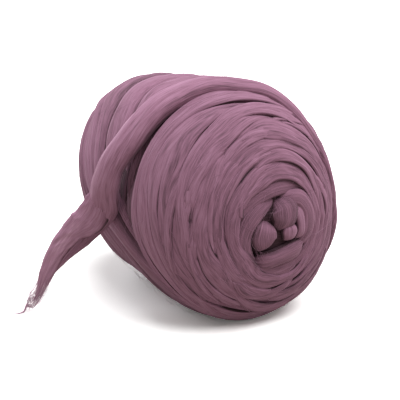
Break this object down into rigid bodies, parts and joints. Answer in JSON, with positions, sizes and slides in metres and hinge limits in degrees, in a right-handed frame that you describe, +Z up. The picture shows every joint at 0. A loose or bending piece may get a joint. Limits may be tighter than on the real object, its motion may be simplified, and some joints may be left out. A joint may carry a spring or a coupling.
{
  "type": "ball of chunky merino yarn",
  "caption": "Large barrel-shaped ball of thick unspun merino roving, lying on its side, with its last wrap over the top and its loose end hanging to the surface.",
  "frame": {"origin": "on the surface, under the centre of the box of the ball, without its loose end", "axes": "+Z up; Y along the axis that the ball was wound round, its near end with the navel facing -Y; the loose end hangs at -X"},
  "size_m": [0.2877, 0.2913, 0.2307],
  "materials": {
    "wool": "soft matt combed wool fibre with a faint sheen"
  },
  "bodies": {
    "root": {"ball": "wool", "loose_end": "wool"}
  },
  "joints": []
}
